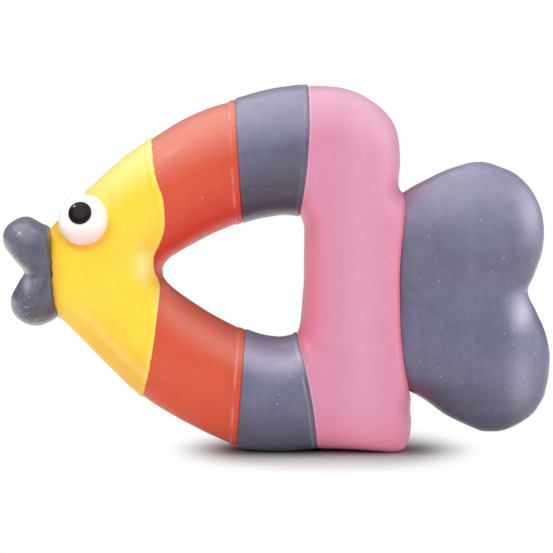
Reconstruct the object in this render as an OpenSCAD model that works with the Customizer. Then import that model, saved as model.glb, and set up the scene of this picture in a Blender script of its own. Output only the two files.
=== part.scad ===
// Latex fish dog toy: a hollow cast skin in coloured sections, stuffed with fibre, with a plug squeaker.
// The fish stands on its lower arm and looks towards -X, with its left flank towards -Y and +Z up.

/* [Body] */
// Length of the ring-shaped body, from the lips' joint to the tail's joint
body_len = 102; // [98:1:125]
// Height of the ring-shaped body
body_h = 108.5; // [100:0.5:131]
// Thickness of the body from flank to flank
body_thick = 36; // [30:0.5:44]
// Thickness of the latex wall
skin_wall = 2.2; // [1.6:0.1:2.8]
// Depth of the flat that the fish stands on
foot_flat = 0.5; // [0.3:0.1:0.8]

/* [Hole] */
// Distance from the lips' joint to the front corner of the hole
nose_len = 31.5; // [28:0.5:36]
// Length of the three-cornered hole
hole_len = 41.5; // [34:0.5:46]
// Height of the hole at its rear side
hole_h = 36; // [30:0.5:43.5]
// Height of the hole's lower corner above the floor
hole_z = 33; // [31:0.5:36]

/* [Skin relief] */
// Step of the head over the gill band
head_rise = 0.4; // [0.2:0.1:0.8]
// Step of the grey arm bands over the gill band
band_rise = 0.6; // [0.3:0.1:1]
// Step of the rear body over the grooves at its ends
rear_rise = 0.3; // [0.2:0.1:0.6]

/* [Tail] */
// Length of the tail behind its joint
tail_len = 43; // [36:0.5:52]
// Height of the tail over both lobes
tail_h = 79; // [76:0.5:86]
// Thickness of the tail at its fullest
tail_thick = 29; // [24:0.5:31]
// Height of the tail's lowest point above the floor
tail_z = 5.4; // [4:0.2:7]

/* [Lips] */
// Length of the lips in front of their joint
lip_len = 15; // [12.5:0.5:18]
// Height of the lips
lip_h = 32; // [31:0.5:38]
// Thickness of the lips from side to side
lip_thick = 27; // [26:0.5:32]
// Drop of the lips' lowest point below the middle of the nose
lip_drop = 15.5; // [14.5:0.1:17]
// Lean of the lips' joint from upright, in degrees
neck_lean = 5; // [0:1:8]

/* [Eyes] */
// Diameter of each eye dome
eye_d = 15; // [12:0.5:17]
// Diameter of each pupil
pupil_d = 6.8; // [5:0.2:8.2]
// Thickness of the pupil's cap on the dome
pupil_rise = 0.4; // [0.2:0.1:0.8]

/* [Squeaker] */
// Outer diameter of the squeaker's barrel
barrel_d = 12.5; // [11:0.5:15]
// Length of the barrel below its flange
barrel_len = 15; // [13:0.5:18]
// Wall of the barrel
barrel_wall = 1.2; // [1:0.1:1.5]
// Diameter of the flange on the outside of the skin
flange_d = 17; // [16:0.5:21]
// Thickness of the flange
flange_t = 1.2; // [0.8:0.1:1.6]
// Diameter of the sound hole in the flange
sound_hole_d = 3; // [2:0.2:4]
// Thickness of the reed
reed_t = 0.25; // [0.2:0.05:0.35]
// Width of the reed
reed_w = 5; // [4:0.2:6]
// Gap on each side of the reed at its clamped root
reed_gap = 0.2; // [0.15:0.05:0.3]

/* [Hidden] */

// Colours of the latex sections and the inner pieces
grey = "#787890";
yellow = "#fbd93f";
orange = "#de5d47";
pink = "#e596b1";

// The fish's length is centred on the origin, and its flat rests on the floor
total_len = lip_len + body_len + tail_len;
neck_x = lip_len - total_len / 2;
tail_x = neck_x + body_len;
hole_x = neck_x + nose_len;
// Clearance of the fibre filling inside the wall
fill_gap = 0.6;
// A length that reaches past the whole fish
far = 200;
// Points around each section of the skin, and around each section of the filling
around = 24;
fill_around = 14;
// Levels of the tail and of the lips from end to end
tail_levels = 24;
lip_levels = 18;

// Ribs of the body, each from the hole's edge to the outer edge: the place along the hole's length and
// height, then along the body's length and height, in percent. The ribs where the grey bands meet the rear
// body also bow along the ring, by a number of millimetres
BODY_RIBS = [
    [57, 95, 52, 95.7], [74, 99.6, 60.5, 97.9], [87, 101.2, 67, 99],
    [96.5, 100, 72.7, 99.4, 1.2], [98.8, 97, 83.3, 98.7], [100, 93, 92.2, 94.4],
    [100.6, 87, 97.5, 88.2], [100.7, 79.5, 98.8, 79.7], [100.7, 72.5, 98.4, 72.5],
    [100.7, 67, 101, 68.5], [100.7, 60, 103, 62], [100.4, 45, 103, 45],
    [99.7, 32, 103.5, 28], [99.2, 24.5, 103, 18.5], [98.9, 19.5, 101.8, 13.8],
    [98.5, 15, 102, 8.3], [98, 11.3, 101, 3.1], [97.4, 8.2, 97, 1.25],
    [96.6, 5.4, 87.3, 1.9], [95, 2.8, 75.3, 2.2, -1], [88, -0.7, 70, 1.8],
    [76, -0.5, 64.7, 1.45], [59, 5.3, 52.3, 2.7], [35, 19, 38.2, 8.8],
    [16, 33.3, 24.5, 16.8], [6, 42.5, 13.7, 26.4], [1.6, 48.5, 3.4, 36.2],
    [0.7, 52.5, -5, 42.5], [0.7, 57.2, -5, 56], [2.8, 61.7, 5, 66.2],
    [7.3, 66.8, 16.7, 77.3], [18, 74, 28.4, 85.6], [36, 85, 40.2, 92.1]];
// Ribs at which the sections of the body meet
upper_front = 0;
upper_rear = 3;
lower_rear = 19;
lower_front = 22;
ring_end = len(BODY_RIBS);
// The rib that stands on the floor, with the flat cut off it, and the height of the nose's middle
foot_rib = 21;
body_z = band_rise - foot_flat - body_h * BODY_RIBS[foot_rib][3] / 100;
nose_share = 49.25;
lip_z = body_z + body_h * nose_share / 100 - lip_drop;

// Edge of the head on the gill band, from the top down, in percent of the nose's length and the body's height
GILL_EDGE = [
    [87.5, 96], [90.5, 86], [95.5, 76], [102.3, 70], [103.6, 63], [99.5, 58.5], [93, 54.5],
    [93, 50.5], [98.4, 46.5], [97.3, 41], [93.5, 32], [88.5, 23.5], [83.5, 17], [78.5, 9]];

// Ribs of the tail from the bottom up: both ends along its length, its height and its fullness, in percent
TAIL_RIBS = [
    [57, 60, 0, 0], [48, 72, 1.3, 40], [30, 87, 6, 68], [14.5, 95, 12, 82], [2, 97.4, 15.5, 88],
    [-22, 99.4, 21, 95], [-38, 99.9, 29, 99], [-40, 96.5, 37.5, 98], [-40, 90.3, 45, 94], [-40, 84.8, 52, 90],
    [-40, 89.8, 59, 93], [-40, 94.7, 68, 97], [-38, 95.6, 75.5, 96], [-22, 93.1, 83, 90], [4, 87, 90, 78],
    [22, 78, 95, 60], [35, 67.5, 98, 40], [50, 53, 100, 0]];

// Ribs of the lips from the bottom up, in the same form
LIP_RIBS = [
    [62, 65, 0, 0], [35, 96, 5, 52], [18.5, 118, 14.5, 82], [17.5, 120, 27, 98], [30.5, 118, 39.5, 96],
    [41, 117, 50, 86], [22.5, 116, 61, 95], [3.6, 114, 74, 98], [1.6, 110, 85, 90], [14.5, 75, 94, 62],
    [43, 46, 100, 0]];

// Roundness of the sections: 2 is an ellipse, and a higher number is squarer
arm_square = 2.2;
rear_square = 2.8;
tail_square = 2.3;
lip_square = 2.2;
// How much thinner the head is at its nose
nose_taper = 0.32;

// Value from 0 to 1 that eases in between two places
function ease(v, from, to) =
    let (t = min(max((v - from) / (to - from), 0), 1)) t * t * (3 - 2 * t);

// Smooth curve through four rows in turn, between the second and the third
function blend4(a, b, c, d, t) =
    b + t * (c - a) / 2 + t * t * (a - 2.5 * b + 2 * c - d / 2) + t * t * t * (3 * (b - c) + d - a) / 2;

// Row at a place along a closed list of rows
function ring_row(rows, t) =
    let (n = len(rows), i = floor(t))
    blend4(rows[(i + n - 1) % n], rows[i % n], rows[(i + 1) % n], rows[(i + 2) % n], t - i);

// Row at a place along an open list of rows
function open_row(rows, t) =
    let (last = len(rows) - 1, i = min(floor(t), last - 1))
    blend4(rows[max(i - 1, 0)], rows[i], rows[i + 1], rows[min(i + 2, last)], t - i);

// A rib in millimetres: inner x and z, outer x and z, half thickness, squareness, taper and bow
function body_rib(row) = [
    hole_x + hole_len * row[0] / 100,
    hole_z + hole_h * row[1] / 100,
    neck_x + body_len * row[2] / 100,
    body_z + body_h * row[3] / 100,
    body_thick / 2,
    arm_square + (rear_square - arm_square) * ease(row[2], 65, 90),
    nose_taper * ease(-row[2], -35, 0),
    len(row) > 4 ? row[4] : 0];
BODY = [for (row = BODY_RIBS) body_rib(row)];

// A level rib of the tail or the lips in the same form
function level_rib(row, x, length, z, height, thick, square) = [
    x + length * row[0] / 100,
    z + height * row[2] / 100,
    x + length * row[1] / 100,
    z + height * row[2] / 100,
    thick / 2 * row[3] / 100,
    square,
    0,
    0];
TAIL = [for (row = TAIL_RIBS) level_rib(row, tail_x, tail_len, tail_z, tail_h, tail_thick, tail_square)];
LIPS = [for (row = LIP_RIBS) level_rib(row, -total_len / 2, lip_len, lip_z, lip_h, lip_thick, lip_square)];

// Least half width of a section that is drawn in from the skin
least_half = 0.3;

// Point on a rib's section: angle 0 is its outer end, 180 its inner end, and lift moves it off the surface
function section_point(rib, angle, lift) =
    let (
        inner = [rib[0], rib[1]],
        outer = [rib[2], rib[3]],
        half = norm(outer - inner) / 2,
        along = (outer - inner) / (2 * half),
        square = rib[5],
        reach = pow(pow(abs(cos(angle)), square) + pow(abs(sin(angle)), square), -1 / square),
        across = reach * cos(angle),
        bow = rib[7] * (1 - across * across) * [along[1], -along[0]],
        place = (inner + outer) / 2 + along * max(half + lift, least_half) * across + bow,
        wide = max(rib[4] + lift, least_half),
        side = wide * reach * sin(angle) * (1 - rib[6] * (1 + across) / 2))
    [place[0], -side, place[1]];

// One closed line of points around a rib
function section(rib, lift, count) = [for (j = [0:count - 1]) section_point(rib, 360 * j / count, lift)];

// Two triangles between neighbouring points of two lines
function quad(a, b, c, d) = [[a, b, c], [a, c, d]];

// Triangles between two lines of points that start at these numbers
function strip(first, second, count) = [
    for (j = [0:count - 1])
    each quad(first + j, first + (j + 1) % count, second + (j + 1) % count, second + j)];

// The same triangles with the quads split the other way, so that the ends of two skins fit each other
function end_strip(first, second, count) = [
    for (j = [0:count - 1])
    each quad(first + (j + 1) % count, second + (j + 1) % count, second + j, first + j)];

// Evenly spaced places
function steps(from, to, count) = [for (i = [0:count]) from + (to - from) * i / count];

// Height of a rounded shoulder at a distance from its edge
function shoulder(distance, width, height) =
    height * sqrt(1 - pow(1 - min(distance / width, 1), 2));

// Hollow stretch of the body's skin through stations, each a place among the ribs and a lift
module tube_skin(stations) {
    count = len(stations);
    lines = [
        for (station = stations) section(ring_row(BODY, station[0]), station[1], around),
        for (station = stations) section(ring_row(BODY, station[0]), -skin_wall, around)];
    inside = count * around;
    polyhedron(
        [for (line = lines) each line],
        [
            for (i = [0:count - 2]) each strip((i + 1) * around, i * around, around),
            for (i = [0:count - 2]) each strip(inside + i * around, inside + (i + 1) * around, around),
            each strip(0, inside, around),
            each end_strip(inside + (count - 1) * around, (count - 1) * around, around)],
        convexity = 10);
}

// Solid ring through places among the ribs, drawn in from the skin
module ring_core(places, lift, count) {
    total = len(places);
    polyhedron(
        [for (place = places) each section(ring_row(BODY, place), lift, count)],
        [for (i = [0:total - 1]) each strip(((i + 1) % total) * count, i * count, count)],
        convexity = 10);
}

// Solid stretch of the body through places among the ribs, closed at both ends
module body_core(places, lift, count) {
    total = len(places);
    last = (total - 1) * count;
    polyhedron(
        [for (place = places) each section(ring_row(BODY, place), lift, count)],
        [
            for (i = [0:total - 2]) each strip((i + 1) * count, i * count, count),
            [for (j = [0:count - 1]) j],
            [for (j = [count - 1:-1:0]) last + j]],
        convexity = 10);
}

// A level rib moved towards or away from the middle height of its lobe
function stretched(rib, middle, share) =
    let (z = middle + (rib[1] - middle) * share)
    [rib[0], z, rib[2], z, rib[4], rib[5], rib[6], rib[7]];

// A level rib turned end for end
function turned_over(rib) = [rib[2], rib[1], rib[0], rib[3], -rib[4], rib[5], rib[6], rib[7]];

// Row at a place along a lobe's ribs, which run on over its tips, so that these are round
function lobe_row(ribs, t) =
    let (last = len(ribs) - 1, i = min(floor(t), last - 1))
    blend4(
        i == 0 ? turned_over(ribs[1]) : ribs[i - 1], ribs[i], ribs[i + 1],
        i == last - 1 ? turned_over(ribs[last - 1]) : ribs[i + 2], t - i);

// Solid form through level ribs that close to a round tip at both ends
module lobe(ribs, levels, lift, count) {
    top = len(ribs) - 1;
    middle = (ribs[0][1] + ribs[top][1]) / 2;
    share = 1 + 2 * lift / (ribs[top][1] - ribs[0][1]);
    rows = [for (i = [0:levels]) stretched(lobe_row(ribs, top * i / levels), middle, share)];
    ends = [rows[0], rows[levels]];
    low = (levels - 1) * count;
    last = (levels - 2) * count;
    polyhedron(
        [
            for (i = [1:levels - 1]) each section(rows[i], lift, count),
            for (end = ends) [(end[0] + end[2]) / 2, 0, end[1]]],
        [
            for (i = [0:levels - 3]) each strip(i * count, (i + 1) * count, count),
            for (j = [0:count - 1]) [low, j, (j + 1) % count],
            for (j = [0:count - 1]) [low + 1, last + (j + 1) % count, last + j]],
        convexity = 10);
}

// Upright block through the whole thickness over an outline in length and height
module through(points) {
    translate([0, far / 2, 0])
        rotate([90, 0, 0])
            linear_extrude(far)
                polygon(points);
}

// Points along a smooth curve through a list of places
function curve(points, count) =
    [for (t = steps(0, len(points) - 1, count * (len(points) - 1))) open_row(points, t)];

// Place on the lips' joint at a height
function neck_at(z) = neck_x - (z - lip_z - lip_h / 2) * tan(neck_lean);
// Head's edge on the gill band in millimetres
gill_line = curve(
    [for (p = GILL_EDGE) [neck_x + nose_len * p[0] / 100, body_z + body_h * p[1] / 100]], 2);
// Everything in front of the gill edge and behind the lips' joint
head_zone = concat(
    [[neck_at(far), far], [gill_line[0][0], far]],
    gill_line,
    [[gill_line[len(gill_line) - 1][0], -far], [neck_at(-far), -far]]);
// Everything in front of the lips' joint
lip_zone = [[-far, far], [neck_at(far), far], [neck_at(-far), -far], [-far, -far]];
// Everything in front of the gill edge
front_zone = concat(
    [[-far, far], [gill_line[0][0], far]],
    gill_line,
    [[gill_line[len(gill_line) - 1][0], -far], [-far, -far]]);

// The tail's joint is a shallow arc that bulges towards the body, about the height of the tail's notch
joint_r = 140;
joint_bulge = 1.6;
joint_share = 0.53;
joint_z = tail_z + joint_share * tail_h;
joint_span = 18;
joint_steps = 12;
joint_line = [
    for (a = steps(joint_span, -joint_span, joint_steps))
    [tail_x - joint_bulge + joint_r * (1 - cos(a)), joint_z + joint_r * sin(a)]];
tail_zone = concat([[far, joint_line[0][1]]], joint_line, [[far, joint_line[joint_steps][1]]]);

// Places among the ribs and lifts along each section of the skin: the gill band rises in a bead to meet the
// arm bands, the arm bands and the rear body fall into a groove between them, and the head has one height
bead = 0.16;
groove = 0.16;
head_from = 23.5;
head_to = 32;
front_steps = 20;
head_steps = 17;
upper_steps = 7;
lower_steps = 12;
rear_steps = 31;
front_stations = concat(
    [[lower_front, band_rise], [lower_front + bead / 2, band_rise / 2], [lower_front + bead, 0]],
    [for (s = steps(lower_front + 0.5, ring_end - 0.5, front_steps)) [s, 0]],
    [[ring_end - bead, 0], [ring_end - bead / 2, band_rise / 2], [ring_end, band_rise]]);
head_places = steps(head_from, head_to, head_steps);
head_stations = [for (s = head_places) [s, head_rise]];
upper_stations = [
    for (s = concat(
        steps(upper_front, upper_rear - groove, upper_steps),
        [upper_rear - groove / 3, upper_rear]))
    [s, shoulder(upper_rear - s, groove, band_rise)]];
lower_stations = [
    for (s = concat(
        [lower_rear, lower_rear + groove / 3],
        steps(lower_rear + groove, lower_front, lower_steps)))
    [s, shoulder(s - lower_rear, groove, band_rise)]];
rear_stations = [
    for (s = concat(
        [upper_rear],
        steps(upper_rear + groove, lower_rear - groove, rear_steps),
        [lower_rear]))
    [s, shoulder(min(s - upper_rear, lower_rear - s), groove, rear_rise)]];

// Eyes: the place of each dome among the ribs and around its section, how far its centre stands off the
// skin, the stretch of the head on which it sits, and the turn of its pupil
eye_rib = 29.01;
eye_angle = 47;
eye_proud = 1.6;
eye_reach = 2.7;
eye_seat = [for (s = head_places) if (abs(s - eye_rib) < eye_reach) s];
pupil_seat = sqrt(eye_d * eye_d - pupil_d * pupil_d) / 2;
eye_skin = section_point(ring_row(BODY, eye_rib), eye_angle, head_rise);
eye_at = [eye_skin[0], eye_skin[1] - eye_proud, eye_skin[2]];
gaze_up = 21;
gaze_ahead = 9;

// Squeaker: its axis runs along Y through the middle of the rear limb, and its flange lies on the right flank
squeaker_x = (hole_x + hole_len + tail_x) / 2;
squeaker_z = hole_z + hole_h / 2;
flank_y = body_thick / 2 + rear_rise;
barrel_in_r = barrel_d / 2 - barrel_wall;
seat_gap = 0.05;
// The skin has a flat seat for the flange, and a collar inside that grips the barrel
collar_wall = 3;
collar_len = 4;
collar_sunk = 0.3;
collar_r = barrel_d / 2 + collar_wall;
collar_top = -rear_rise - skin_wall - collar_sunk;
collar_end = collar_top - collar_len;
barb_rise = 0.8;
barb_len = 2.5;
// Depths below the flank of the barrel's inner end, the reed's bed and the reed's pivot
barrel_end = -flange_t - barrel_len;
cap_t = 1.2;
cap_skirt = 2;
bed_end = barrel_end + cap_skirt;
end_room = 1;
bed_len = barrel_len - cap_skirt - end_room;
clamp_len = 4;
pivot_depth = bed_end + clamp_len;
root_len = 2;
tongue_len = bed_len - clamp_len - end_room;
channel_lap = 0.8;
channel_w = reed_w - 2 * channel_lap;
channel_depth = 2;

// Puts a shape that is drawn along Z, from the flank at 0 and with +Z out of the toy, in the squeaker's place
module at_squeaker() {
    translate([squeaker_x, flank_y, squeaker_z])
        rotate([-90, 0, 0])
            children();
}

// Everything under the floor
module below_floor() {
    translate([-far / 2, -far / 2, -far])
        cube(far);
}

module lips() {
    color(grey)
        intersection() {
            difference() {
                lobe(LIPS, lip_levels, 0, around);
                lobe(LIPS, lip_levels, -skin_wall, around);
            }
            through(lip_zone);
        }
}

module head() {
    color(yellow)
        intersection() {
            tube_skin(head_stations);
            through(head_zone);
        }
}

module gill_band() {
    color(orange)
        difference() {
            tube_skin(front_stations);
            through(front_zone);
        }
}

module upper_band() {
    color(grey)
        tube_skin(upper_stations);
}

module lower_band() {
    color(grey)
        difference() {
            tube_skin(lower_stations);
            below_floor();
        }
}

module rear_body() {
    color(pink)
        difference() {
            union() {
                tube_skin(rear_stations);
                at_squeaker()
                    translate([0, 0, collar_end])
                        cylinder(h = collar_top - collar_end, r = collar_r, $fn = 64);
            }
            through(tail_zone);
            below_floor();
            at_squeaker() {
                translate([0, 0, barrel_end])
                    cylinder(h = 2 * barrel_len, d = barrel_d + 2 * seat_gap, $fn = 64);
                translate([0, 0, -flange_t])
                    cylinder(h = barrel_len, d = flange_d + 2 * seat_gap, $fn = 64);
            }
        }
}

module tail() {
    color(grey)
        intersection() {
            difference() {
                lobe(TAIL, tail_levels, 0, around);
                lobe(TAIL, tail_levels, -skin_wall, around);
            }
            through(tail_zone);
        }
}

// Puts a shape about the centre of an eye, with +Z turned up and ahead as the pupil looks. The eye is on the
// left flank for side = 1 and on the right one for side = -1
module at_gaze(side) {
    translate([eye_at[0], side * eye_at[1], eye_at[2]])
        rotate([0, 0, -side * gaze_ahead])
            rotate([side * (90 - gaze_up), 0, 0])
                children();
}

// One eye dome, with a flat for its pupil
module eye(side) {
    color("white")
        difference() {
            at_gaze(side)
                difference() {
                    sphere(d = eye_d, $fn = 64);
                    translate([0, 0, pupil_seat])
                        cylinder(h = eye_d, d = 2 * eye_d, $fn = 64);
                }
            body_core(eye_seat, head_rise, around);
        }
}

module left_eye() {
    eye(1);
}

module right_eye() {
    eye(-1);
}

// Cap of one pupil on its dome's flat
module pupil(side) {
    color("#2c2528")
        at_gaze(side)
            intersection() {
                rotate([90, 0, 0])
                    sphere(d = eye_d + 2 * pupil_rise, $fn = 128);
                translate([0, 0, pupil_seat])
                    cylinder(h = eye_d, d = pupil_d, $fn = 96);
            }
}

module left_pupil() {
    pupil(1);
}

module right_pupil() {
    pupil(-1);
}

module body_filling() {
    color("ivory")
        difference() {
            ring_core(steps(0, ring_end - 1, ring_end - 1), -skin_wall - fill_gap, fill_around);
            through(tail_zone);
            translate([fill_gap, 0, 0])
                through(lip_zone);
            at_squeaker() {
                translate([0, 0, barrel_end - cap_t - fill_gap])
                    cylinder(h = far, r = barrel_d / 2 + barb_rise + fill_gap, $fn = 64);
                translate([0, 0, collar_end - fill_gap])
                    cylinder(h = far, r = collar_r + fill_gap, $fn = 64);
            }
        }
}

module tail_filling() {
    color("ivory")
        intersection() {
            lobe(TAIL, tail_levels, -skin_wall - fill_gap, fill_around);
            translate([fill_gap, 0, 0])
                through(tail_zone);
        }
}

module squeaker_barrel() {
    barb_z = collar_end - seat_gap;
    color("ghostwhite")
        at_squeaker()
            rotate_extrude($fn = 96)
                polygon([
                    [sound_hole_d / 2, -flange_t],
                    [sound_hole_d / 2, 0],
                    [flange_d / 2 - flange_t / 2, 0],
                    [flange_d / 2, -flange_t / 2],
                    [flange_d / 2, -flange_t],
                    [barrel_d / 2, -flange_t],
                    [barrel_d / 2, barb_z],
                    [barrel_d / 2 + barb_rise, barb_z],
                    [barrel_d / 2, barb_z - barb_len],
                    [barrel_d / 2, barrel_end],
                    [barrel_in_r, barrel_end],
                    [barrel_in_r, -flange_t]]);
}

// Half-round bar that fills one side of the barrel's bore up to a flat, with +Y away from the flat
module half_bar(length, flat_gap) {
    intersection() {
        cylinder(h = length, r = barrel_in_r - seat_gap, $fn = 64);
        translate([-barrel_d, flat_gap, 0])
            cube([2 * barrel_d, barrel_d, length]);
    }
}

module reed_bed() {
    color("gainsboro")
        at_squeaker()
            translate([0, 0, bed_end])
                difference() {
                    half_bar(bed_len, reed_t / 2 + reed_gap);
                    translate([-channel_w / 2, 0, clamp_len])
                        cube([channel_w, channel_depth, bed_len]);
                }
}

module reed() {
    color("gold")
        at_squeaker()
            translate([-reed_w / 2, -reed_t / 2, pivot_depth - root_len])
                cube([reed_w, reed_t, root_len + tongue_len]);
}

module reed_clamp() {
    color("gainsboro")
        at_squeaker()
            translate([0, 0, bed_end])
                mirror([0, 1, 0])
                    half_bar(clamp_len, reed_t / 2 + reed_gap);
}

module squeaker_cap() {
    slots = 4;
    slot_w = 1.2;
    slot_from = 1.2;
    slot_len = 2.2;
    color("ghostwhite")
        at_squeaker()
            translate([0, 0, barrel_end - cap_t])
                difference() {
                    union() {
                        cylinder(h = cap_t, d = barrel_d, $fn = 64);
                        cylinder(h = cap_t + cap_skirt, r = barrel_in_r - seat_gap, $fn = 64);
                    }
                    translate([0, 0, cap_t])
                        cylinder(h = far, r = barrel_in_r - barrel_wall, $fn = 64);
                    for (i = [0:slots - 1])
                        rotate([0, 0, 360 / slots * i])
                            translate([slot_from, -slot_w / 2, -cap_t])
                                cube([slot_len, slot_w, 3 * cap_t]);
                }
}

lips();
head();
gill_band();
upper_band();
lower_band();
rear_body();
tail();
left_eye();
right_eye();
left_pupil();
right_pupil();
body_filling();
tail_filling();
squeaker_barrel();
reed_bed();
reed();
reed_clamp();
squeaker_cap();
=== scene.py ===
"""Looks of a latex fish dog toy: cast skins, eyes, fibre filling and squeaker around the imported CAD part."""
import math
import bpy
import numpy as np
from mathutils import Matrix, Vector, noise


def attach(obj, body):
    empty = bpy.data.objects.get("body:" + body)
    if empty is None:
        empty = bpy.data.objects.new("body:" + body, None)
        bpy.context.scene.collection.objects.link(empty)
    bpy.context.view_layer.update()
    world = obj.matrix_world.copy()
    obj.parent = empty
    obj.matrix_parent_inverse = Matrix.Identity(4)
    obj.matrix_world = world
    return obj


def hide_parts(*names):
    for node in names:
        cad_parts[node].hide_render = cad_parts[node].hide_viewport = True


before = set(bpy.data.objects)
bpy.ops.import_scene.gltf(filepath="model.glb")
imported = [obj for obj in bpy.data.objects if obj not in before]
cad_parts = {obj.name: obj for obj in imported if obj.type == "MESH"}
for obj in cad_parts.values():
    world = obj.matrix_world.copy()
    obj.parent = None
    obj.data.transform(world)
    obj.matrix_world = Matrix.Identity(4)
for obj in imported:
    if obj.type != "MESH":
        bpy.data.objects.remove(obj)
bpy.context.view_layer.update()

MM = 0.001

# Sizes of the toy in millimetres, as in the part's source
BODY_LEN = 102
BODY_H = 108.5
BODY_THICK = 36
SKIN_WALL = 2.2
FOOT_FLAT = 0.5
NOSE_LEN = 31.5
HOLE_LEN = 41.5
HOLE_H = 36
HOLE_Z = 33
HEAD_RISE = 0.4
BAND_RISE = 0.6
BEAD_RISE = 0.32
REAR_RISE = 0.3
TAIL_LEN = 43
TAIL_H = 79
TAIL_THICK = 29
TAIL_Z = 5.4
LIP_LEN = 15
LIP_H = 32
LIP_THICK = 27
LIP_DROP = 15.5
NECK_LEAN = math.radians(5)
EYE_D = 15
PUPIL_D = 6.8
PUPIL_RISE = 0.4
FLANGE_D = 17

# Places that follow from them
TOTAL_LEN = LIP_LEN + BODY_LEN + TAIL_LEN
NECK_X = LIP_LEN - TOTAL_LEN / 2
TAIL_X = NECK_X + BODY_LEN
HOLE_X = NECK_X + NOSE_LEN

# Ribs of the body, each from the hole's edge to the outer edge: the place along the hole's length and
# height, then along the body's length and height, in percent. The ribs where the grey bands meet the rear
# body also bow along the ring, by a number of millimetres
BODY_RIBS = [
    [57, 95, 52, 95.7], [74, 99.6, 60.5, 97.9], [87, 101.2, 67, 99],
    [96.5, 100, 72.7, 99.4, 1.2], [98.8, 97, 83.3, 98.7], [100, 93, 92.2, 94.4],
    [100.6, 87, 97.5, 88.2], [100.7, 79.5, 98.8, 79.7], [100.7, 72.5, 98.4, 72.5],
    [100.7, 67, 101, 68.5], [100.7, 60, 103, 62], [100.4, 45, 103, 45],
    [99.7, 32, 103.5, 28], [99.2, 24.5, 103, 18.5], [98.9, 19.5, 101.8, 13.8],
    [98.5, 15, 102, 8.3], [98, 11.3, 101, 3.1], [97.4, 8.2, 97, 1.25],
    [96.6, 5.4, 87.3, 1.9], [95, 2.8, 75.3, 2.2, -1], [88, -0.7, 70, 1.8],
    [76, -0.5, 64.7, 1.45], [59, 5.3, 52.3, 2.7], [35, 19, 38.2, 8.8],
    [16, 33.3, 24.5, 16.8], [6, 42.5, 13.7, 26.4], [1.6, 48.5, 3.4, 36.2],
    [0.7, 52.5, -5, 42.5], [0.7, 57.2, -5, 56], [2.8, 61.7, 5, 66.2],
    [7.3, 66.8, 16.7, 77.3], [18, 74, 28.4, 85.6], [36, 85, 40.2, 92.1]]

# The ribs at the ends of the upper and the lower grey band, and the number of ribs
UPPER_FRONT, UPPER_REAR, LOWER_REAR, LOWER_FRONT, RING_END = 0, 3, 19, 22, 33

# The rib that stands on the floor, with the flat cut off it, and the lips' height from the nose's middle
FOOT_RIB = 21
BODY_Z = BAND_RISE - FOOT_FLAT - BODY_H * BODY_RIBS[FOOT_RIB][3] / 100
NOSE_SHARE = 49.25
LIP_Z = BODY_Z + BODY_H * NOSE_SHARE / 100 - LIP_DROP

# The head's edge on the gill band from the top down, in percent of the nose's length and body's height
GILL_EDGE = [
    [87.5, 96], [90.5, 86], [95.5, 76], [102.3, 70], [103.6, 63], [99.5, 58.5], [93, 54.5],
    [93, 50.5], [98.4, 46.5], [97.3, 41], [93.5, 32], [88.5, 23.5], [83.5, 17], [78.5, 9]]

# Ribs of the tail from the bottom up: both ends along its length, its height and its fullness, in percent
TAIL_RIBS = [
    [57, 60, 0, 0], [48, 72, 1.3, 40], [30, 87, 6, 68], [14.5, 95, 12, 82], [2, 97.4, 15.5, 88],
    [-22, 99.4, 21, 95], [-38, 99.9, 29, 99], [-40, 96.5, 37.5, 98], [-40, 90.3, 45, 94],
    [-40, 84.8, 52, 90], [-40, 89.8, 59, 93], [-40, 94.7, 68, 97], [-38, 95.6, 75.5, 96],
    [-22, 93.1, 83, 90], [4, 87, 90, 78], [22, 78, 95, 60], [35, 67.5, 98, 40], [50, 53, 100, 0]]

# Ribs of the lips from the bottom up, in the same form
LIP_RIBS = [
    [62, 65, 0, 0], [35, 96, 5, 52], [18.5, 118, 14.5, 82], [17.5, 120, 27, 98], [30.5, 118, 39.5, 96],
    [41, 117, 50, 86], [22.5, 116, 61, 95], [3.6, 114, 74, 98], [1.6, 110, 85, 90], [14.5, 75, 94, 62],
    [43, 46, 100, 0]]

# Squareness of the sections, which is 2 for an ellipse, and the share by which the nose thins outwards
ARM_SQUARE, REAR_SQUARE, TAIL_SQUARE, LIP_SQUARE = 2.2, 2.8, 2.3, 2.2
NOSE_TAPER = 0.32

# The tail's joint, an arc: its radius, how far its middle lies inside the body and up the tail's height, and
# its angle on each side of the middle
JOINT_R = 140
JOINT_INSET = 1.6
JOINT_SHARE = 0.53
JOINT_HALF_ANGLE = math.radians(18)
JOINT_X = TAIL_X - JOINT_INSET + JOINT_R
JOINT_Z = TAIL_Z + JOINT_SHARE * TAIL_H
JOINT_REACH = JOINT_R * math.sin(JOINT_HALF_ANGLE)

# The eyes: the place among the ribs, around the section and off the skin, and where the pupils look
EYE_RIB = 29.01
EYE_ANGLE = math.radians(47)
EYE_PROUD = 1.6
GAZE_UP = math.radians(21)
GAZE_AHEAD = math.radians(9)

# Middle of the squeaker on the right flank
SQUEAKER_X = (HOLE_X + HOLE_LEN + TAIL_X) / 2
SQUEAKER_Z = HOLE_Z + HOLE_H / 2

# Details of the skins, each by its place along the length and the height in millimetres: the cheek's
# swelling, painted shade in the gills' notch, pebbles, painted highlights and sheen, and pale specks
CHEEK = (-39, 55)
GILL_NOTCH = (-38, 60.5)
GILL_PEBBLES = (-14, 72)
REAR_SPECKS = (11.5, 62)
REAR_SHEEN_X = 25
TAIL_NOTCH = (71.5, 41)
TAIL_UPPER_RIM = (74, 69)
TAIL_LOWER_RIM = (71.5, 22)
LIP_CROWN = (-75.5, 63.5)
LIP_CREASE = (-72.5, 50)

# Points around a section of the skin, and how far a skin and the tail's root lap under their neighbours
AROUND = 144
LAP = 0.1
ROOT_LAP = 1.5

# Steps between sections of the head with the gill band, of the bands and of the rear body, in ribs, and
# the number of closer sections by each end
FRONT_STEP, BAND_STEP, REAR_STEP = 0.045, 0.055, 0.07
END_SECTIONS = 24

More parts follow.
